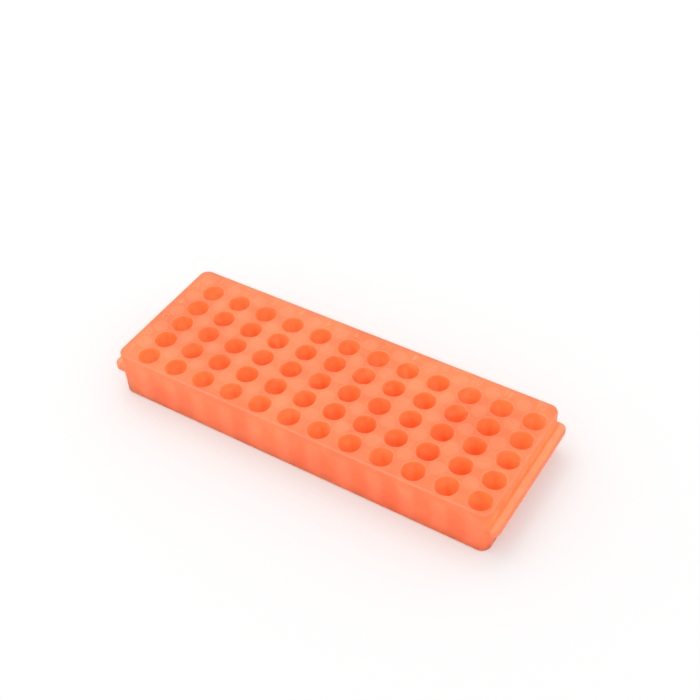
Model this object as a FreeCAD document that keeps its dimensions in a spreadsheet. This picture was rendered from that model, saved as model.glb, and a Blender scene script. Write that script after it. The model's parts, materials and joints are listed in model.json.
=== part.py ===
"""Reversible microcentrifuge tube rack, injection moulded in one piece.

The block is cored from both faces. Large wells open at the top and take 1.5 and
2.0 ml tubes. Small wells open at the base and take 0.5 ml tubes once the rack is
turned over. The small wells stand half a pitch away from the large ones along both
axes, so that thin walls part them, and each kind ends blind a floor short of the
other face. A finger ledge runs across each short end.

Frame: origin at the middle of the base, +X along the rack, +Z up, millimetres.
"""

import FreeCAD, Part
import os
import Sketcher
from FreeCAD import Placement, Rotation, Vector

NODE = "tube_rack"
PAST_END = 0.01  # an edge at least this far past the block's end belongs to a ledge

SIZES = [
    # alias, value, meaning
    ("columns", 12, "wells along the rack"),
    ("rows", 5, "wells across the rack"),
    ("large_bore", 11.0, "diameter of a 1.5 and 2.0 ml well"),
    ("small_bore", 8.0, "diameter of a 0.5 ml well"),
    ("column_web", 5.5, "least plastic between large wells along the rack"),
    ("row_web", 2.1, "least plastic between large wells across the rack"),
    ("large_floor", 2.0, "plastic left under a large well"),
    ("small_floor", 2.0, "plastic left over a small well"),
    ("rim_chamfer", 0.4, "lead-in at every mouth"),
    ("end_wall", 1.65, "plastic between the last large well and the short end"),
    ("side_wall", 1.5, "plastic between the last large well and the long side"),
    ("body_height", 25.4, "base to deck"),
    ("corner_radius", 4.8, "upright corners of the block"),
    ("edge_radius", 0.7, "rounding of the deck and base outlines"),
    ("ledge_reach", 4.45, "how far a finger ledge stands out"),
    ("ledge_thickness", 3.4, "top to underside of a ledge"),
    ("ledge_rise", 12.9, "base to the underside of a ledge, a little over half way up"),
    ("ledge_inset", 0.4, "ledge end to the long side of the block"),
    ("ledge_corner_radius", 3.8, "ledge corners seen from above"),
    ("ledge_edge_radius", 0.6, "rounding of the ledge outlines"),
]

DERIVED = [
    # both arrays have the pitch of the large wells
    ("column_pitch", "=large_bore + column_web"),
    ("row_pitch", "=large_bore + row_web"),
    # the two arrays are half a pitch apart, so together they span half a pitch more than one
    ("body_length", "=(columns - 0.5) * column_pitch + large_bore + 2 * end_wall"),
    ("body_width", "=(rows - 0.5) * row_pitch + large_bore + 2 * side_wall"),
    ("ledge_length", "=body_length + 2 * ledge_reach"),
    ("ledge_width", "=body_width - 2 * ledge_inset"),
    ("column_shift", "=column_pitch / 4"),
    ("row_shift", "=row_pitch / 4"),
    ("first_column", "=(columns - 1) * column_pitch / 2"),
    ("first_row", "=(rows - 1) * row_pitch / 2"),
    ("large_depth", "=body_height - large_floor"),
    ("small_depth", "=body_height - small_floor"),
]


def add_sheet(doc):
    """The driving sizes, then the values that follow from them, one row each."""
    sheet = doc.addObject("Spreadsheet::Sheet", "Sizes")
    rows = [(alias, str(value), meaning) for alias, value, meaning in SIZES]
    rows += [(alias, formula, "derived") for alias, formula in DERIVED]
    for row, (alias, content, meaning) in enumerate(rows, start=1):
        sheet.set(f"A{row}", alias)
        sheet.set(f"B{row}", content)
        sheet.setAlias(f"B{row}", alias)
        sheet.set(f"C{row}", meaning)
    doc.recompute()
    return sheet


def origin_feature(body, role):
    """The body's own origin plane or axis with this role."""
    return next(f for f in body.Origin.OriginFeatures if f.Role == role)


def add_sketch(body, role, name, offset, turn=0):
    """A sketch on one of the body's origin planes, moved by sheet expressions and turned."""
    sketch = body.newObject("Sketcher::SketchObject", name)
    sketch.AttachmentSupport = [(origin_feature(body, role), "")]
    sketch.MapMode = "FlatFace"
    sketch.AttachmentOffset = Placement(Vector(), Rotation(Vector(0, 0, 1), turn))
    for axis, formula in offset.items():
        sketch.setExpression(f"AttachmentOffset.Base.{axis}", formula)
    return sketch


def bind(sketch, formula, *constraint):
    """Add a dimension to the sketch and tie it to the sheet."""
    index = sketch.addConstraint(Sketcher.Constraint(*constraint))
    sketch.setExpression(f"Constraints[{index}]", formula)


def draw_loop(sketch, points):
    """Closed loop of straight lines through the points, joined end to start."""
    for start, end in zip(points, points[1:] + points[:1]):
        sketch.addGeometry(Part.LineSegment(Vector(*start), Vector(*end)))
    for line in range(len(points)):
        after = (line + 1) % len(points)
        sketch.addConstraint(Sketcher.Constraint("Coincident", line, 2, after, 1))


def draw_rectangle(sketch, length, width):
    """Rectangle centred on the sketch origin, its sides tied to two sheet values.

    It is drawn at any size, and the two dimensions then give it the real one.
    """
    draw_loop(sketch, [(-2, -1), (2, -1), (2, 1), (-2, 1)])
    for line, direction in enumerate(("Horizontal", "Vertical") * 2):
        sketch.addConstraint(Sketcher.Constraint(direction, line))
    sketch.addConstraint(Sketcher.Constraint("Symmetric", 0, 1, 1, 2, -1, 1))
    bind(sketch, length, "DistanceX", 0, 1, 0, 2, 4.0)
    bind(sketch, width, "DistanceY", 1, 1, 1, 2, 2.0)


def draw_well(sketch, bore, depth):
    """Half section of a well: axis, mouth, lead-in, wall and flat floor.

    The sketch origin is the centre of the mouth, and the well goes down its -Y side. The
    section is drawn at any size, and the four dimensions then give it the real one.
    """
    draw_loop(sketch, [(0, 0), (3, 0), (2, -1), (2, -4), (0, -4)])
    sketch.addConstraint(Sketcher.Constraint("Coincident", 0, 1, -1, 1))
    for line in (0, 3):
        sketch.addConstraint(Sketcher.Constraint("Horizontal", line))
    for line in (2, 4):
        sketch.addConstraint(Sketcher.Constraint("Vertical", line))
    bind(sketch, f"{bore} / 2", "DistanceX", 3, 2, 3, 1, 2.0)
    bind(sketch, "Sizes.rim_chamfer", "DistanceX", 1, 2, 1, 1, 1.0)
    bind(sketch, "Sizes.rim_chamfer", "DistanceY", 1, 2, 1, 1, 1.0)
    bind(sketch, depth, "DistanceY", 4, 1, 4, 2, 4.0)


def add_slab(body, name, length, width, height, lift):
    """Rectangular slab, padded up from a plane at the given height over the base."""
    sketch = add_sketch(body, "XY_Plane", name + "Outline", {"z": lift})
    draw_rectangle(sketch, length, width)
    pad = body.newObject("PartDesign::Pad", name)
    pad.Profile = sketch
    pad.setExpression("Length", height)
    body.Document.recompute()
    return pad


def edges_where(feature, wanted):
    """Names of the feature's edges whose middle point and direction pass the test."""
    names = []
    for number, edge in enumerate(feature.Shape.Edges, start=1):
        middle = edge.valueAt((edge.FirstParameter + edge.LastParameter) / 2)
        upright = abs(edge.Vertexes[0].Z - edge.Vertexes[-1].Z) > 0.5 * edge.Length
        if wanted(middle, upright):
            names.append(f"Edge{number}")
    return names


def round_edges(body, feature, name, radius, wanted):
    """Fillet the chosen edges of the last feature."""
    fillet = body.newObject("PartDesign::Fillet", name)
    fillet.Base = (feature, edges_where(feature, wanted))
    fillet.setExpression("Radius", radius)
    body.Document.recompute()
    return fillet


def add_wells(body, name, bore, depth, offset, turn):
    """One well turned about its own axis, repeated along and across the rack."""
    sketch = add_sketch(body, "XZ_Plane", name + "Section", offset, turn)
    draw_well(sketch, bore, depth)
    well = body.newObject("PartDesign::Groove", name)
    well.Profile = sketch
    well.ReferenceAxis = (sketch, ["V_Axis"])
    well.Angle = 360
    body.Document.recompute()
    array = body.newObject("PartDesign::LinearPattern", name + "Array")
    array.Originals = [well]
    array.Direction = (origin_feature(body, "X_Axis"), [""])
    array.Direction2 = (origin_feature(body, "Y_Axis"), [""])
    array.Mode = array.Mode2 = "Spacing"
    array.setExpression("Offset", "Sizes.column_pitch")
    array.setExpression("Occurrences", "Sizes.columns")
    array.setExpression("Offset2", "Sizes.row_pitch")
    array.setExpression("Occurrences2", "Sizes.rows")
    body.Tip = array
    body.Document.recompute()
    # -1 is the pattern's own sign for "the common spacing"; new gaps across start at 0
    array.Spacings2 = [-1.0] * (array.Occurrences2 - 1)
    body.Document.recompute()
    return array


def add_block(body):
    """The rounded block, from the base plane up to the deck."""
    block = add_slab(
        body, "Block", "Sizes.body_length", "Sizes.body_width", "Sizes.body_height", "0 mm"
    )
    corners = round_edges(
        body, block, "Corners", "Sizes.corner_radius", lambda middle, upright: upright
    )
    return round_edges(
        body, corners, "Outlines", "Sizes.edge_radius", lambda middle, upright: not upright
    )


def add_ledges(body, block_length):
    """One slab through the block makes the finger ledge at each short end."""
    ledge = add_slab(
        body,
        "Ledge",
        "Sizes.ledge_length",
        "Sizes.ledge_width",
        "Sizes.ledge_thickness",
        "Sizes.ledge_rise",
    )
    outside = block_length / 2 + PAST_END
    corners = round_edges(
        body,
        ledge,
        "LedgeCorners",
        "Sizes.ledge_corner_radius",
        lambda middle, upright: upright and abs(middle.x) > outside,
    )
    return round_edges(
        body,
        corners,
        "LedgeOutlines",
        "Sizes.ledge_edge_radius",
        lambda middle, upright: not upright and abs(middle.x) > outside,
    )


def add_rack(doc, sheet):
    """The whole rack as one body."""
    body = doc.addObject("PartDesign::Body", "Rack")
    body.Label = NODE
    add_block(body)
    add_ledges(body, sheet.body_length)
    add_wells(
        body,
        "LargeWell",
        "Sizes.large_bore",
        "Sizes.large_depth",
        {
            "x": "Sizes.column_shift - Sizes.first_column",
            "y": "Sizes.body_height",
            "z": "Sizes.first_row + Sizes.row_shift",
        },
        turn=0,
    )
    add_wells(
        body,
        "SmallWell",
        "Sizes.small_bore",
        "Sizes.small_depth",
        {
            "x": "-Sizes.column_shift - Sizes.first_column",
            "z": "Sizes.first_row - Sizes.row_shift",
        },
        turn=180,
    )
    return body


def check(doc, bodies):
    """Stop on any failed feature or unusable shape."""
    doc.recompute()
    for obj in doc.Objects:
        if "Invalid" in obj.State or "Error" in obj.State:
            raise RuntimeError(f"{obj.Name} failed: {obj.State}")
    for body in bodies:
        if body.Shape.isNull() or not body.Shape.isValid() or len(body.Shape.Solids) != 1:
            raise RuntimeError(f"{body.Label} is not one valid solid")


def main():
    doc = FreeCAD.newDocument("TubeRack")
    rack = add_rack(doc, add_sheet(doc))
    check(doc, [rack])
    os.makedirs("parts", exist_ok=True)
    rack.Shape.exportStep(f"parts/{rack.Label}.step")
    box = rack.Shape.optimalBoundingBox(False)
    print(f"{rack.Label}: {box.XLength:.2f} x {box.YLength:.2f} x {box.ZLength:.2f} mm")
    print(f"volume {rack.Shape.Volume / 1000:.1f} cm3, {len(rack.Shape.Faces)} faces")


main()
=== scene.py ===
"""Reversible microcentrifuge tube rack, moulded in one piece in translucent orange polypropylene.

The skin of the rack is one closed surface: a deck with the wide wells, a base with the
narrow ones, and a wall that runs out round a finger ledge at each short end. Row letters
and column numbers stand a little proud of the deck. Lengths on the rack are in millimetres
and become metres where a mesh is made. Lengths of the studio round it are in metres.
"""

import json

import bpy
import numpy as np
from mathutils import Matrix, Vector


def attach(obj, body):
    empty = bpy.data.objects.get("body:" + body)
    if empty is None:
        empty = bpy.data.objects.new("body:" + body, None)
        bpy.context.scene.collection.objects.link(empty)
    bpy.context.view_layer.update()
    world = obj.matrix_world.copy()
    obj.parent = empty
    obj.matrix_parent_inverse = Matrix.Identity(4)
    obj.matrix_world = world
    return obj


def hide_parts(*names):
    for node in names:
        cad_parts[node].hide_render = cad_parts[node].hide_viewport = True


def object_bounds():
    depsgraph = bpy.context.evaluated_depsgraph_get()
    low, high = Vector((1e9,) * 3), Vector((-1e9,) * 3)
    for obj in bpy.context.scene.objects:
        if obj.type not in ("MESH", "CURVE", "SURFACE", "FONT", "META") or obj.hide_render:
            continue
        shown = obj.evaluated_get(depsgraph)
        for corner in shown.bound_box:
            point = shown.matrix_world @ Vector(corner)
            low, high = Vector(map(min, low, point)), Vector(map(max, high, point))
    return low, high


MM = 0.001

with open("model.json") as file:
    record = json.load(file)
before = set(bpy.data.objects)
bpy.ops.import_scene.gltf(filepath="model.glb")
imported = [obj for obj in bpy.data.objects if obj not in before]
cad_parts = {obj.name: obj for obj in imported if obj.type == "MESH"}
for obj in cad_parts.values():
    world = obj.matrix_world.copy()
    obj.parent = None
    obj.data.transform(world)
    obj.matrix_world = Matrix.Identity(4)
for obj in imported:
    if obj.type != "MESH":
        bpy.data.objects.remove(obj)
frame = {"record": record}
CAD_BOX = [list(corner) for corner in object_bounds()]


def mount(name):
    """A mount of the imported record: its place in millimetres, and its dimensions."""
    found = next(entry for entry in frame["record"]["mounts"] if entry["name"] == name)
    return np.array(found["pos_m"]) / MM, found["dims"]


# wells: the two arrays stand half a pitch apart along both axes
COLUMNS, ROW_LETTERS = 12, "ABCDE"
ROWS = len(ROW_LETTERS)
WIDE_PLACE, WIDE_DIMS = mount("well_A1")
NARROW_PLACE, NARROW_DIMS = mount("small_well_A1")
PITCH = 2 * np.abs(WIDE_PLACE - NARROW_PLACE)[:2]
WIDE_WELL, NARROW_WELL = WIDE_DIMS["r_mm"], NARROW_DIMS["r_mm"]
FLOOR = WIDE_PLACE[2] - WIDE_DIMS["length_mm"]
RIM_ROUND, FLOOR_ROUND = 0.4, 1.0

# block and ledges
LEDGE_REACH, LEDGE_INSET = 4.45, 0.4
LEDGE_BOTTOM, LEDGE_TOP = 12.9, 16.3
LEDGE_CORNER, LEDGE_EDGE, CREASE = 3.8, 0.6, 0.3
CORNER, EDGE = 4.8, 0.7
END, SIDE, HEIGHT = (length / MM for length in CAD_BOX[1])
HALF = np.array([END - LEDGE_REACH, SIDE])
FLAT = HALF - CORNER  # where the straight sides end and a corner begins
LEDGE_HALF = np.array([END, SIDE - LEDGE_INSET])

# raised marks
MARK_SIZE, MARK_RISE = 5.4, 0.3  # letter size of the font and how far a mark stands proud
MARK_SINK = 0.2  # how far a mark's body goes down into the deck
MARK_STEPS = 3  # pieces of each curve in a letter's outline
SAME_PLACE = 4  # points of a mark that agree to this many decimals are one
NUMBERS_Y, LETTERS_X = 31.9, -97.3
NUMBER_SHIFT = -1.0  # along the rack, from a column's axis to the middle of its number

# grid: lines in a well's cell along and across, lines round half of a corner, steps of an edge
CELL = (12, 10)
CORNER_LINES = 6
ROUND_STEPS = 3
QUARTER = np.linspace(0, np.pi / 2, ROUND_STEPS + 1)
ROUND_IN, ROUND_DOWN = 1 - np.sin(QUARTER), 1 - np.cos(QUARTER)  # shares of an edge's radius

# colours of the plastic; besides the random swells, mottle and grain, DEEP paints shade
# and PALE paints highlights and glow
PLAIN = (0.98, 0.245, 0.08, 1)
DEEP = (0.975, 0.175, 0.05, 1)
PALE = (0.97, 0.38, 0.205, 1)

# the swells of colour, the mottle and the mould's grain: each one's size and its finer layers
CLOUD, MOTTLE, GRAIN = (36.0, 2.0), (6.2, 3.0), (0.4, 2.0)
# each noise from 0 to 1: the level at which its colour comes in, and half the width of the rise
CLOUD_RISE, MOTTLE_RISE, GRAIN_RISE = (0.5, 0.25), (0.575, 0.125), (0.625, 0.125)
MOTTLE_SHARE, GRAIN_SHARE = 0.14, 0.15  # how much of the paler tint they bring
MOTTLE_HEIGHT = 4.0  # how high the mottle's swells are beside those of the grain
BUMP_HEIGHT, BUMP_STRENGTH = 0.05, 0.3
SMOOTHEST, ROUGHEST = 0.32, 0.5  # roughness at the two ends of the mottle

# light in the plastic: its reach in metres, and the share of it that each colour goes
LIGHT_REACH, LIGHT_SHARES = 0.04, (1.0, 0.75, 0.6)
INDEX = 1.49

# painted light and shade that follow the shape: where each begins and ends, and half the
# width of its soft edge
DISC_INSET, DISC_SOFT = 0.25, 0.45  # the painted glow in the disc over a well's floor, in from the well's wall
LIP_START, LIP_END, LIP_SOFT = 0.1, 0.6, 0.2  # a well's lip, painted as a highlight, out from its wall
WELL_START, WELL_SOFT = 0.15, 0.15  # the inside of a well, painted in shade, out from its wall
THIN_SIDE, SIDE_SOFT = 2.4, 0.9  # painted glow where a well comes nearer than this to the outer wall
THIN_WEB, WEB_SOFT = 1.8, 0.6  # painted glow where the plastic between two wells is thinner than this
EDGE_SOFT = 0.4  # the painted highlight on the rounded edges of the deck and the base
LEDGE_START, LEDGE_SOFT = 0.9, 0.5  # a ledge's painted glow, out from the block's end
FACE_START, FACE_SOFT = 0.55, 0.35  # painted shade on a ledge's outer face, in from its tip
CREASE_IN, CREASE_OUT, CREASE_SOFT = 0.3, 0.5, 0.4  # painted shade in a crease, in and out from the block's end
CREASE_ABOVE, CREASE_FADE = 0.8, 0.5  # and up and down from the ledge

# studio, in metres
GROUND_HEIGHT, GROUND_HALF = -0.0002, 4.0  # just under the base, so that they share no plane
GROUND_PAINT = (0.82, 0.82, 0.82, 1)
GLOW_START, GLOW_END = 0.4, 2.5  # the ground's glow grows between these distances
GLOW_NEAR, GLOW_FAR = 0.24, 0.6  # from the one strength to the other
WORLD_LIGHT, WORLD_SEEN = 0.8, 1.0  # strength of the white world, as light and as it is seen
LAMP_PLACE, LAMP_SIZE = Vector((-0.8, 0.3, 2.1)), (1.8, 1.4)
LAMP_POWER = 9.0  # watts
CAMERA_PLACE = Vector((0.22997, -0.31487, 0.42145))
CAMERA_AIM = Vector((-0.00263, 0.02152, 0.0254))
CAMERA_ROLL = -0.0677  # radians
LENS, SENSOR = 60.3, 36.0  # focal length and width of the sensor, in millimetres
FARTHEST = 50.0  # the camera sees no further than this


class Skin:
    """Points and four-cornered faces of one closed surface. A repeated corner makes a triangle."""

    def __init__(self):
        self.points, self.faces, self.count = [], [], 0

    def place(self, x, y, z):
        """Add a grid of points and give back their numbers."""
        grid = np.stack(np.broadcast_arrays(x, y, z), axis=-1).astype(float)
        numbers = self.count + np.arange(grid[..., 0].size).reshape(grid.shape[:-1])
        self.points.append(grid.reshape(-1, 3))
        self.count += numbers.size
        return numbers

    def span(self, rows, flip):
        """Faces between neighbouring closed rows of point numbers, turned over by flip."""
        ring = np.concatenate([rows, rows[:, :1]], axis=1)
        quads = np.stack([ring[:-1, :-1], ring[:-1, 1:], ring[1:, 1:], ring[1:, :-1]], axis=-1)
        self.faces.append(quads.reshape(-1, 4)[:, :: -1 if flip else 1])

    def polygons(self):
        """Whole quads, and the triangles left of those with one repeated corner."""
        faces = np.concatenate(self.faces)
        repeats = faces == np.roll(faces, -1, axis=1)
        once = repeats.sum(axis=1) == 1
        triangles = [np.delete(faces[once & repeats[:, k]], k, axis=1) for k in range(4)]
        return faces[~repeats.any(axis=1)], np.concatenate(triangles)


def point_normals(points, quads, triangles):
    """Normals of points: the sum of the normals of the faces round each, times their areas.

    The broad flat faces so stay flat, and the narrow rounds between them carry the turn. The
    cross product of a face's diagonals is its normal times twice its area. A triangle's last
    corner stands for the fourth.
    """
    normals = np.zeros_like(points)
    for group in (quads, triangles):
        a, b, c, d = (points[group[:, k]] for k in (0, 1, 2, -1))
        turned = np.cross(c - a, d - b)
        for corner in group.T:
            np.add.at(normals, corner, turned)
    lengths = np.linalg.norm(normals, axis=1, keepdims=True)
    return normals / np.maximum(lengths, np.finfo(float).tiny)


def make_piece(name, skin, material):
    """Mesh object of a skin, in metres, with its material and its points' own normals."""
    quads, triangles = skin.polygons()
    corners = np.concatenate([quads.ravel(), triangles.ravel()])
    used, corners = np.unique(corners, return_inverse=True)
    points = np.concatenate(skin.points)[used] * MM
    sizes = np.repeat([4, 3], [len(quads), len(triangles)])
    mesh = bpy.data.meshes.new(name)
    mesh.vertices.add(len(points))
    mesh.vertices.foreach_set("co", points.astype(np.float32).ravel())
    mesh.loops.add(len(corners))
    mesh.loops.foreach_set("vertex_index", corners.astype(np.int32))
    mesh.polygons.add(len(sizes))
    mesh.polygons.foreach_set("loop_start", (np.cumsum(sizes) - sizes).astype(np.int32))
    mesh.update(calc_edges=True)
    mesh.polygons.foreach_set("use_smooth", np.ones(len(sizes), bool))
    quads, triangles = corners[: quads.size].reshape(-1, 4), corners[quads.size :].reshape(-1, 3)
    mesh.normals_split_custom_set_from_vertices(point_normals(points, quads, triangles).tolist())
    mesh.materials.append(material)
    piece = bpy.data.objects.new(name, mesh)
    bpy.context.scene.collection.objects.link(piece)
    return piece


def grid_lines(axis):
    """Lines along one axis: even steps over the wells, then CORNER_LINES round each corner.

    At each end the even lines stop on the axis of the outermost wells of one array, half a
    pitch past the axis of the other array's.
    """
    wells = (COLUMNS, ROWS)[axis]
    reach = (wells - 0.5) * PITCH[axis] / 2
    even = np.linspace(-reach, reach, int((wells - 0.5) * CELL[axis]) + 1)
    turn = FLAT[axis] + CORNER * np.arange(CORNER_LINES + 1) / CORNER_LINES
    return np.concatenate([-turn[::-1], even, turn])


LINES = grid_lines(0), grid_lines(1)
LAST = len(LINES[0]) - 1, len(LINES[1]) - 1


def rounded(x, y, inset):
    """Bend the outline's square corners round and draw it in by inset.

    With u and v running from 0 to 1 across a corner's square, a point goes to
    u times the root of (1 - v squared / 2), and v likewise, times the corner's radius.
    """
    u, v = (np.maximum(np.abs(w) - flat, 0) / CORNER for w, flat in zip((x, y), FLAT))
    radius = CORNER - inset
    return (
        np.sign(x) * (np.minimum(np.abs(x), FLAT[0]) + radius * u * np.sqrt(1 - v * v / 2)),
        np.sign(y) * (np.minimum(np.abs(y), FLAT[1]) + radius * v * np.sqrt(1 - u * u / 2)),
    )


def loop(left, right, near, far, start):
    """Grid places round a rectangle of lines, anticlockwise from line start on its near side."""
    sides = [
        (np.arange(start, right), near),
        (right, np.arange(near, far)),
        (np.arange(right, left, -1), far),
        (left, np.arange(far, near, -1)),
        (np.arange(left, start), near),
    ]
    return np.concatenate([np.stack(np.broadcast_arrays(i, j), axis=-1) for i, j in sides])


OUTLINE = loop(0, LAST[0], 0, LAST[1], 0)


def well_profile(radius):
    """Radius and depth down a well: quarter-round rim, straight wall, quarter-round floor edge."""
    depth = HEIGHT - FLOOR
    rim = [radius + RIM_ROUND * ROUND_IN, RIM_ROUND * ROUND_DOWN]
    foot = [radius - FLOOR_ROUND * ROUND_DOWN, depth - FLOOR_ROUND * ROUND_IN]
    return np.concatenate([rim, foot], axis=1).T[:, :, None]


def face_with_wells(skin, radius, upward):
    """Deck or base: a plate on the grid lines with a well in every cell. Gives back its outline.

    The base is laid out as the deck is, turned half round, and its wells go up instead of down.
    A well is a profile carried round its axis, and its points stand at the same share of each
    quarter turn as its cell's.
    """
    turn = 1 if upward else -1
    first, last = CORNER_LINES + 1, LAST[1] - CORNER_LINES - 1

    def place(x, y, depth):
        """Points of this face, at a depth from its plane."""
        return skin.place(turn * x, turn * y, HEIGHT - depth if upward else depth)

    plate = place(*rounded(*np.meshgrid(*LINES, indexing="ij"), EDGE), 0.0)
    margin = np.zeros(LAST, bool)  # the strips of the plate that no well's cell covers
    margin[:first], margin[:, last:] = True, True
    quads = np.stack([plate[:-1, :-1], plate[1:, :-1], plate[1:, 1:], plate[:-1, 1:]], axis=-1)
    skin.faces.append(quads[margin][:, ::turn])
    profile = well_profile(radius)
    quarters = np.radians([-90, 0, 90, 180, 270])
    for column in range(COLUMNS):
        left = first + CELL[0] * column
        right = LAST[0] if column == COLUMNS - 1 else left + CELL[0]
        middle = left + CELL[0] // 2
        for row in range(ROWS):
            centre = first + CELL[1] * row
            near, far = (centre - CELL[1] // 2 if row else 0), centre + CELL[1] // 2
            cell = loop(left, right, near, far, middle)
            steps = [right - middle + centre - near, right - middle + far - centre]
            steps += [middle - left + far - centre, middle - left + centre - near]
            angle = np.interp(np.arange(len(cell)), np.cumsum([0] + steps), quarters)
            x = LINES[0][middle] + profile[:, 0] * np.cos(angle)
            y = LINES[1][centre] + profile[:, 0] * np.sin(angle)
            rings = place(x, y, profile[:, 1])
            pole = place(LINES[0][middle], LINES[1][centre], profile[-1, 1, 0])
            rows = [plate[cell[:, 0], cell[:, 1]], *rings, np.full(len(cell), pole)]
            skin.span(np.array(rows), flip=not upward)
    return plate[OUTLINE[:, 0], OUTLINE[:, 1]]


def skirt(skin, deck, base):
    """The walls, as rows of points down the outline that run out round the ledges on the way.

    Where a column of points has no ledge, the ledge's rows share the wall's points.
    """
    x, y = LINES[0][OUTLINE[:, 0]], LINES[1][OUTLINE[:, 1]]
    sign_x, sign_y = np.sign(x), np.sign(y)
    short_side = (OUTLINE[:, 0] == 0) | (OUTLINE[:, 0] == LAST[0])
    along, across = (np.minimum(OUTLINE[:, k], LAST[k] - OUTLINE[:, k]) for k in (0, 1))
    steps = np.where(short_side, across, -along)  # columns of points from the block's corner
    on_ledge = steps >= 0
    by_ledge = (steps < 0) & (steps >= -CORNER_LINES)  # round the block's corner up to the ledge
    share = (steps + CORNER_LINES) / (CORNER_LINES - 1)  # how far round it they stand

    def beside_ledge(px, py, inset):
        """Let the columns round the block's corner end where the ledge's drawn-in side meets it."""
        meeting = np.arcsin((LEDGE_HALF[1] - inset - FLAT[1]) / CORNER)
        angle = np.pi / 2 - share * (np.pi / 2 - meeting)
        px = np.where(by_ledge, sign_x * (FLAT[0] + CORNER * np.cos(angle)), px)
        return px, np.where(by_ledge, sign_y * (FLAT[1] + CORNER * np.sin(angle)), py)

    def edge_row(inset, z):
        """Block outline at a height, drawn in by inset."""
        return skin.place(*rounded(x, y, inset), z)

    def wall_row(z, out=0.0):
        """Block outline at a height, let out round the crease on the ledge's columns."""
        return skin.place(*beside_ledge(*rounded(x, y, -out * on_ledge), LEDGE_EDGE), z)

    def ledge_row(z, inset):
        """Ledge outline, drawn in: from the block round a corner to the straight end face."""
        angle = np.pi / 2 * (1 - np.clip(steps, 0, CORNER_LINES - 1) / (CORNER_LINES - 1))
        corner = LEDGE_HALF - LEDGE_CORNER
        px = corner[0] + (LEDGE_CORNER - inset) * np.cos(angle)
        py = corner[1] + (LEDGE_CORNER - inset) * np.sin(angle)
        py = np.where(steps >= CORNER_LINES, np.abs(y), py)
        wall_x, wall_y = rounded(x, y, 0.0)
        px, py = np.where(on_ledge, sign_x * px, wall_x), np.where(on_ledge, sign_y * py, wall_y)
        return skin.place(*beside_ledge(px, py, inset), z)

    def ledge_half(z, down):
        """From the wall over the crease and the ledge's flat to its outer face."""
        fall = CREASE * (1 - np.sqrt(0.5))  # how far the crease has come out half way round
        rows = [wall_row(z - down * CREASE), wall_row(z - down * fall, fall), wall_row(z, CREASE)]
        rows.append(np.where(on_ledge, ledge_row(z, LEDGE_EDGE), rows[-1]))
        for inset, drop in zip(LEDGE_EDGE * ROUND_IN[1:], LEDGE_EDGE * ROUND_DOWN[1:]):
            rows.append(ledge_row(z + down * drop, inset))
        return rows

    edges = list(zip(EDGE * ROUND_IN[1:], EDGE * ROUND_DOWN[1:]))
    rows = [deck] + [edge_row(inset, HEIGHT - drop) for inset, drop in edges]
    rows += ledge_half(LEDGE_TOP, -1) + ledge_half(LEDGE_BOTTOM, 1)[::-1]
    rows += [edge_row(inset, drop) for inset, drop in reversed(edges)] + [base]
    skin.span(np.array(rows), flip=True)


def well_centre(column, row):
    """Middle of a wide well: columns run along +X, and row A is the one on the +Y side.

    Along both axes the wide wells stand a quarter of a pitch off centre, and the narrow ones
    as far the other way.
    """
    x = PITCH[0] * (column - (COLUMNS - 1) / 2 + 0.25)
    y = PITCH[1] * ((ROWS - 1) / 2 - row - 0.25)
    return x, y


def mark_body(text):
    """Points and triangles of one raised mark, centred on the origin.

    The letter's outline is drawn out straight up, and points in one place are made one, so that
    the flat top, the upright sides and the flat foot close the body.
    """
    curve = bpy.data.curves.new("mark", "FONT")
    curve.body, curve.size = text, MARK_SIZE
    curve.align_x, curve.align_y = "CENTER", "CENTER"
    curve.resolution_u = MARK_STEPS
    curve.extrude = (MARK_RISE + MARK_SINK) / 2
    holder = bpy.data.objects.new("mark", curve)
    solid = bpy.data.meshes.new_from_object(holder)
    solid.calc_loop_triangles()
    points = np.empty(3 * len(solid.vertices), np.float32)
    solid.vertices.foreach_get("co", points)
    corners = np.empty(3 * len(solid.loop_triangles), np.int32)
    solid.loop_triangles.foreach_get("vertices", corners)
    bpy.data.objects.remove(holder)
    bpy.data.curves.remove(curve)
    bpy.data.meshes.remove(solid)
    points = points.reshape(-1, 3).round(SAME_PLACE)
    points, same = np.unique(points, axis=0, return_inverse=True)
    faces = same.ravel()[corners].reshape(-1, 3)
    whole = (faces != np.roll(faces, 1, axis=1)).all(axis=1)
    return points, faces[whole]


def deck_marks(skin):
    """Column numbers and row letters, each standing a little proud of the deck."""
    words = [(str(k + 1), well_centre(k, 0)[0] + NUMBER_SHIFT, NUMBERS_Y) for k in range(COLUMNS)]
    words += [(ROW_LETTERS[k], LETTERS_X, well_centre(0, k)[1]) for k in range(ROWS)]
    for text, x, y in words:
        points, faces = mark_body(text)
        numbers = skin.place(*(points + (x, y, HEIGHT + (MARK_RISE - MARK_SINK) / 2)).T)
        skin.faces.append(numbers[faces[:, [0, 1, 2, 2]]])


def moulded_rack(material):
    """The whole moulding: one closed surface with the marks' bodies let into its deck."""
    skin = Skin()
    deck = face_with_wells(skin, WIDE_WELL, upward=True)
    base = face_with_wells(skin, NARROW_WELL, upward=False)
    skirt(skin, deck, np.roll(base, len(base) // 2))
    deck_marks(skin)
    return make_piece("moulded_rack", skin, material)


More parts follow.
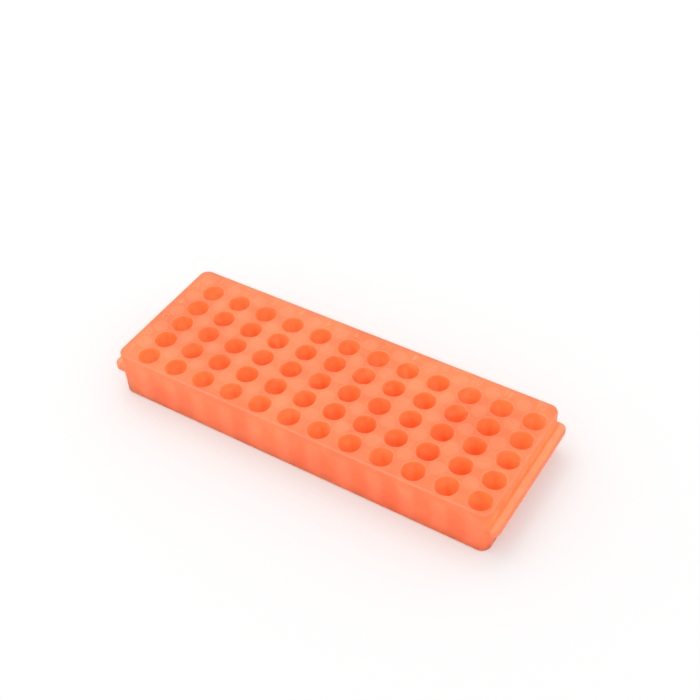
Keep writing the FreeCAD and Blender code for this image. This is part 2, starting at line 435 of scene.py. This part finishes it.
class Nodes:
    """A node tree with short words for adding a node and joining its sockets."""

    def __init__(self, tree):
        self.tree = tree

    def add(self, kind, settings=None, **inputs):
        """Add a node. An input is named by its name with _ for spaces, or by its number as in0."""
        node = self.tree.nodes.new(kind)
        for key, value in (settings or {}).items():
            setattr(node, key, value)
        for key, value in inputs.items():
            number = key.removeprefix("in")
            name = int(number) if number.isdigit() else key.replace("_", " ")
            self.join(value, node.inputs[name])
        return node

    def join(self, value, socket):
        """Link another node's output to a socket, or set a plain value on it."""
        if isinstance(value, bpy.types.NodeSocket):
            self.tree.links.new(value, socket)
        else:
            socket.default_value = value

    def math(self, operation, *values):
        """Work out a number from one, two or three others."""
        inputs = {f"in{k}": value for k, value in enumerate(values)}
        return self.add("ShaderNodeMath", {"operation": operation}, **inputs).outputs[0]

    def vector(self, operation, *values):
        """Work out a vector, or the length of one."""
        inputs = {f"in{k}": value for k, value in enumerate(values)}
        node = self.add("ShaderNodeVectorMath", {"operation": operation}, **inputs)
        return node.outputs["Value" if operation == "LENGTH" else "Vector"]

    def noise(self, place, size, detail):
        """Cloudy noise from about 0 to 1: swells of about the given size, with finer layers."""
        node = self.add("ShaderNodeTexNoise", Vector=place, Scale=1 / size, Detail=detail)
        return node.outputs[0]

    def ramp(self, value, start, end, low, high):
        """Straight rise from low at start to high at end."""
        limits = {"From_Min": start, "From_Max": end, "To_Min": low, "To_Max": high}
        return self.add("ShaderNodeMapRange", Value=value, **limits).outputs[0]

    def above(self, value, limit, soft):
        """1 above the limit and 0 below it, with a smooth rise from soft below to soft above."""
        settings = {"interpolation_type": "SMOOTHSTEP"}
        limits = {"From_Min": limit - soft, "From_Max": limit + soft}
        return self.add("ShaderNodeMapRange", settings, Value=value, **limits).outputs[0]

    def below(self, value, limit, soft):
        """1 below the limit and 0 above it, with a smooth fall between."""
        return self.math("SUBTRACT", 1.0, self.above(value, limit, soft))

    def between(self, value, low, high, soft):
        """1 between two limits, with a smooth rise at the one and a smooth fall at the other."""
        return self.math("MULTIPLY", self.above(value, low, soft), self.below(value, high, soft))

    def mix(self, factor, first, second):
        """Mix two colours."""
        node = self.add("ShaderNodeMix", {"data_type": "RGBA"}, in0=factor, in6=first, in7=second)
        return node.outputs[2]


def well_distance_group():
    """Node group: distance from the axis of the nearest well of one array.

    Along each axis the place is counted in pitches from the array's first well, rounded to a
    well that exists, and the remainder is turned back into a length.
    """
    group = bpy.data.node_groups.new("well_distance", "ShaderNodeTree")
    group.interface.new_socket("Place", in_out="INPUT", socket_type="NodeSocketVector")
    for name in ("First X", "First Y"):
        group.interface.new_socket(name, in_out="INPUT", socket_type="NodeSocketFloat")
    group.interface.new_socket("Distance", in_out="OUTPUT", socket_type="NodeSocketFloat")
    nodes = Nodes(group)
    source = nodes.add("NodeGroupInput").outputs
    place = nodes.add("ShaderNodeSeparateXYZ", Vector=source["Place"]).outputs
    away = []
    for axis, count in enumerate((COLUMNS, ROWS)):
        along = nodes.math("SUBTRACT", place[axis], source[f"First {'XY'[axis]}"])
        whole = nodes.math("ROUND", nodes.math("DIVIDE", along, PITCH[axis]))
        whole = nodes.math("MINIMUM", nodes.math("MAXIMUM", whole, 0.0), count - 1.0)
        rest = nodes.math("SUBTRACT", along, nodes.math("MULTIPLY", whole, PITCH[axis]))
        away.append(nodes.math("MULTIPLY", rest, rest))
    nodes.add("NodeGroupOutput", Distance=nodes.math("SQRT", nodes.math("ADD", *away)))
    return group


def painted_light_and_shade(nodes, place):
    """Painted light and shade that follow the shape, each as a mask, its share and its colour.

    Painted glow of light through thin plastic: the floor over a narrow well, which shows as a
    faint disc in the deck, the webs where two wells come close or a well comes close to the
    outside, and the ledges. Painted highlights: a well's lip, the top of a mark and the rounded
    edges. Painted shade, deeper in colour: down in a well, along a ledge's outer face and in the
    crease between a ledge and the wall. Each mask is a distance that rises or falls smoothly past
    a limit.
    """
    axes = nodes.add("ShaderNodeSeparateXYZ", Vector=place).outputs
    outward, height = nodes.math("ABSOLUTE", axes[0]), axes[2]
    deck = nodes.above(height, HEIGHT - FLOOR / 2, FLOOR / 2)
    base = nodes.below(height, FLOOR / 2, FLOOR / 2)
    group = well_distance_group()

    def from_axis(side):
        """Distance from the nearest well's axis: side is 1 for wide wells and -1 for narrow."""
        first_x = PITCH[0] * (side / 4 - (COLUMNS - 1) / 2)
        first_y = PITCH[1] * (-side / 4 - (ROWS - 1) / 2)
        sockets = {"Place": place, "First_X": first_x, "First_Y": first_y}
        return nodes.add("ShaderNodeGroup", {"node_tree": group}, **sockets).outputs[0]

    def on_faces(on_deck, on_base):
        """One mask where the deck is, and another where the base is."""
        on_base = nodes.math("MULTIPLY", on_base, base)
        return nodes.math("MAXIMUM", nodes.math("MULTIPLY", on_deck, deck), on_base)

    def disc(distance, radius):
        """Painted glow of light through the thin floor over a well, as a disc."""
        return nodes.below(distance, radius - DISC_INSET, DISC_SOFT)

    def lip(distance, radius):
        """Painted highlight in the ring round a well's mouth."""
        return nodes.between(distance, radius + LIP_START, radius + LIP_END, LIP_SOFT)

    wide, narrow = from_axis(1), from_axis(-1)
    # painted glow of light through the thin floor over each well: narrow wells in the deck, wide in
    # the base
    floor_glow = on_faces(disc(narrow, NARROW_WELL), disc(wide, WIDE_WELL))
    # painted highlight round each well's mouth
    lip_highlight = on_faces(lip(wide, WIDE_WELL), lip(narrow, NARROW_WELL))
    # painted highlight on the tops of the raised marks
    marks = nodes.above(height, HEIGHT + MARK_RISE / 2, MARK_RISE / 2)

    to_wide = nodes.math("SUBTRACT", wide, WIDE_WELL)
    to_narrow = nodes.math("SUBTRACT", narrow, NARROW_WELL)
    nearer = nodes.math("MINIMUM", to_wide, to_narrow)
    further = nodes.math("MAXIMUM", to_wide, to_narrow)
    # painted shade down inside every well, between the deck and the base
    in_well = nodes.below(nearer, WELL_START, WELL_SOFT)
    below_face = nodes.between(height, FLOOR / 2, HEIGHT - FLOOR / 2, FLOOR / 2)
    wells = nodes.math("MULTIPLY", in_well, below_face)

    # a height past the rack's own leaves only the distance outwards
    past_flat = nodes.vector("SUBTRACT", nodes.vector("ABSOLUTE", place), (*FLAT, 2 * HEIGHT))
    from_flat = nodes.vector("LENGTH", nodes.vector("MAXIMUM", past_flat, (0, 0, 0)))
    # painted highlight along the rounded edges of the deck and the base
    outer = nodes.above(from_flat, CORNER - EDGE, EDGE_SOFT)
    upper = nodes.above(height, HEIGHT - EDGE, EDGE_SOFT)
    lower = nodes.below(height, EDGE, EDGE_SOFT)
    edges = nodes.math("MULTIPLY", outer, nodes.math("MAXIMUM", upper, lower))

    # painted glow of light through thin plastic, beside the outer wall and between wells
    on_side = nodes.above(from_flat, CORNER - EDGE / 2, EDGE / 2)
    sides = nodes.math("MULTIPLY", on_side, nodes.below(nearer, THIN_SIDE, SIDE_SOFT))
    webs = nodes.math("MULTIPLY", in_well, nodes.below(further, THIN_WEB, WEB_SOFT))
    core = nodes.between(height, FLOOR, HEIGHT - 2 * FLOOR, FLOOR)
    thin = nodes.math("MULTIPLY", nodes.math("MAXIMUM", webs, sides), core)

    # painted glow of light through the thin ledges
    ledges = nodes.above(outward, HALF[0] + LEDGE_START, LEDGE_SOFT)
    # painted shade along each ledge's outer face
    faces = nodes.above(outward, END - FACE_START, FACE_SOFT)
    # painted shade in the crease between each ledge and the wall
    beside = nodes.between(outward, HALF[0] - CREASE_IN, HALF[0] + CREASE_OUT, CREASE_SOFT)
    low, high = LEDGE_BOTTOM - CREASE_ABOVE, LEDGE_TOP + CREASE_ABOVE
    level = nodes.between(height, low, high, CREASE_FADE)
    crease_shade = nodes.math("MULTIPLY", beside, level)
    return [
        # where, how much of its colour, and the colour of each painted light and shade
        (wells, 1.0, DEEP),
        (floor_glow, 0.2, PALE),
        (lip_highlight, 0.35, PALE),
        (marks, 0.4, PALE),
        (thin, 0.22, PALE),
        (edges, 0.4, PALE),
        (ledges, 0.45, PALE),
        (faces, 0.6, DEEP),
        (crease_shade, 0.8, DEEP),
    ]


def rack_plastic():
    """Translucent orange polypropylene with a fine satin mould texture.

    Slow swells of colour, a mottle and a fine speckle lie over the whole, and painted highlights,
    glow and shade follow the shape. The light that the plastic carries from face to face makes
    the wells glow.
    """
    material = bpy.data.materials.new("rack_plastic")
    material.use_nodes = True
    nodes = Nodes(material.node_tree)
    place = nodes.add("ShaderNodeTexCoord").outputs["Object"]
    place = nodes.vector("MULTIPLY", place, (1 / MM, 1 / MM, 1 / MM))
    cloud, mottle, grain = (nodes.noise(place, *kind) for kind in (CLOUD, MOTTLE, GRAIN))
    # painted light and shade that follow the shape, then the random mottle and speckle
    tints = painted_light_and_shade(nodes, place)
    tints.append((nodes.above(mottle, *MOTTLE_RISE), MOTTLE_SHARE, PALE))
    tints.append((nodes.above(grain, *GRAIN_RISE), GRAIN_SHARE, PALE))
    colour = nodes.mix(nodes.above(cloud, *CLOUD_RISE), PLAIN, DEEP)
    for mask, share, tint in tints:
        colour = nodes.mix(nodes.math("MULTIPLY", mask, share), colour, tint)
    relief = nodes.math("MULTIPLY_ADD", mottle, MOTTLE_HEIGHT, grain)
    bump = {"Strength": BUMP_STRENGTH, "Distance": BUMP_HEIGHT * MM, "Height": relief}

    shader = material.node_tree.nodes["Principled BSDF"]
    shader.subsurface_method = "BURLEY"
    nodes.join(colour, shader.inputs["Base Color"])
    nodes.join(nodes.ramp(mottle, 0.0, 1.0, SMOOTHEST, ROUGHEST), shader.inputs["Roughness"])
    nodes.join(nodes.add("ShaderNodeBump", **bump).outputs[0], shader.inputs["Normal"])
    nodes.join(INDEX, shader.inputs["IOR"])
    nodes.join(1.0, shader.inputs["Subsurface Weight"])
    nodes.join(LIGHT_SHARES, shader.inputs["Subsurface Radius"])
    nodes.join(LIGHT_REACH, shader.inputs["Subsurface Scale"])
    return material


def white_floor():
    """Wide pale floor that looks white to the camera and keeps the rack's shadow."""
    material = bpy.data.materials.new("floor_white")
    material.use_nodes = True
    nodes = Nodes(material.node_tree)
    nodes.tree.nodes.clear()
    seen = nodes.add("ShaderNodeLightPath").outputs["Is Camera Ray"]
    paint = nodes.add("ShaderNodeBsdfDiffuse", Color=GROUND_PAINT).outputs[0]
    away = nodes.vector("LENGTH", nodes.add("ShaderNodeTexCoord").outputs["Object"])
    strength = nodes.ramp(away, GLOW_START, GLOW_END, GLOW_NEAR, GLOW_FAR)
    glow = nodes.add("ShaderNodeEmission", Strength=strength).outputs[0]
    both = nodes.add("ShaderNodeAddShader", in0=paint, in1=glow).outputs[0]
    mixed = nodes.add("ShaderNodeMixShader", in0=seen, in1=paint, in2=both).outputs[0]
    nodes.add("ShaderNodeOutputMaterial", Surface=mixed)
    corners = GROUND_HALF * np.array([(-1, -1), (1, -1), (1, 1), (-1, 1)])
    mesh = bpy.data.meshes.new("floor")
    mesh.from_pydata([(x, y, GROUND_HEIGHT) for x, y in corners], [], [range(4)])
    mesh.materials.append(material)
    floor = bpy.data.objects.new("floor", mesh)
    bpy.context.scene.collection.objects.link(floor)


def studio_light():
    """White world, plain white to the camera, and one broad soft lamp high over the far left."""
    world = bpy.data.worlds.new("studio")
    world.use_nodes = True
    bpy.context.scene.world = world
    nodes = Nodes(world.node_tree)
    nodes.tree.nodes.clear()
    path = nodes.add("ShaderNodeLightPath").outputs
    seen = nodes.math("MAXIMUM", path["Is Camera Ray"], path["Is Glossy Ray"])
    seen = nodes.math("MAXIMUM", seen, path["Is Transmission Ray"])
    strength = nodes.ramp(seen, 0.0, 1.0, WORLD_LIGHT, WORLD_SEEN)
    light = nodes.add("ShaderNodeBackground", Color=(1, 1, 1, 1), Strength=strength).outputs[0]
    nodes.add("ShaderNodeOutputWorld", Surface=light)
    lamp = bpy.data.lights.new("softbox", "AREA")
    lamp.shape, lamp.energy = "RECTANGLE", LAMP_POWER
    lamp.size, lamp.size_y = LAMP_SIZE
    box = bpy.data.objects.new("softbox", lamp)
    box.location = LAMP_PLACE
    box.rotation_euler = (-LAMP_PLACE).to_track_quat("-Z", "Y").to_euler()
    bpy.context.scene.collection.objects.link(box)


def add_camera():
    """Camera over the near right corner, rolled a little."""
    data = bpy.data.cameras.new("camera")
    data.lens, data.sensor_width, data.clip_end = LENS, SENSOR, FARTHEST
    ahead = (CAMERA_AIM - CAMERA_PLACE).normalized()
    right = ahead.cross(Vector((0, 0, 1))).normalized()
    turn = Matrix((right, right.cross(ahead), -ahead)).transposed()
    turn = turn @ Matrix.Rotation(CAMERA_ROLL, 3, "Z")
    camera = bpy.data.objects.new("camera", data)
    camera.matrix_world = Matrix.Translation(CAMERA_PLACE) @ turn.to_4x4()
    bpy.context.scene.collection.objects.link(camera)
    bpy.context.scene.camera = camera


add_camera()
studio_light()
white_floor()
rack = moulded_rack(rack_plastic())
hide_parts("tube_rack")
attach(rack, "root")

bpy.context.scene.view_settings.view_transform = "Standard"
